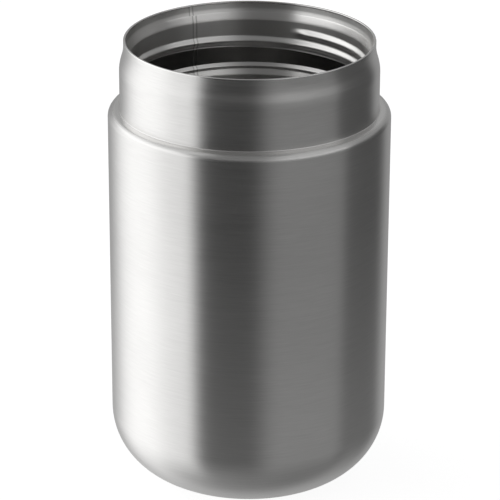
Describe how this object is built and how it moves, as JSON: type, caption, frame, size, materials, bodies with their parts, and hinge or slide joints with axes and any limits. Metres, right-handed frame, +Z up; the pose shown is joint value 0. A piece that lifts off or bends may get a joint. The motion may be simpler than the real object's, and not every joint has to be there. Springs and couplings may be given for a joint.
{
  "type": "insulated food jar",
  "caption": "Open double-walled steel vacuum food jar with a stepped neck, an inside screw thread for its lid, a round base corner and bare brushed walls.",
  "frame": {"origin": "centre of the standing face, on the jar's axis", "axes": "+Z up along the jar's axis towards the mouth; +Y away from the viewer, so -Y is the side that faces the camera"},
  "size_m": [0.095, 0.095, 0.156],
  "materials": {
    "shell_steel": "brushed around, satin",
    "liner_steel": "rolled and spun, semi-bright",
    "weld_steel": "bright ground weld",
    "shield_foil": "bright foil",
    "solder_glass": "opaque dark solder glass",
    "sintered_getter": "matt pressed powder"
  },
  "bodies": {
    "root": {"outer_shell": "shell_steel", "base_weld": "shell_steel", "base_cup": "shell_steel", "vacuum_base": "liner_steel", "port_seal": "solder_glass", "getter_cup": "liner_steel", "getter_pill": "sintered_getter", "inner_liner": "liner_steel", "liner_bottom": "liner_steel", "liner_weld": "weld_steel", "rim_weld": "weld_steel", "foil_shield": "shield_foil"}
  },
  "joints": []
}
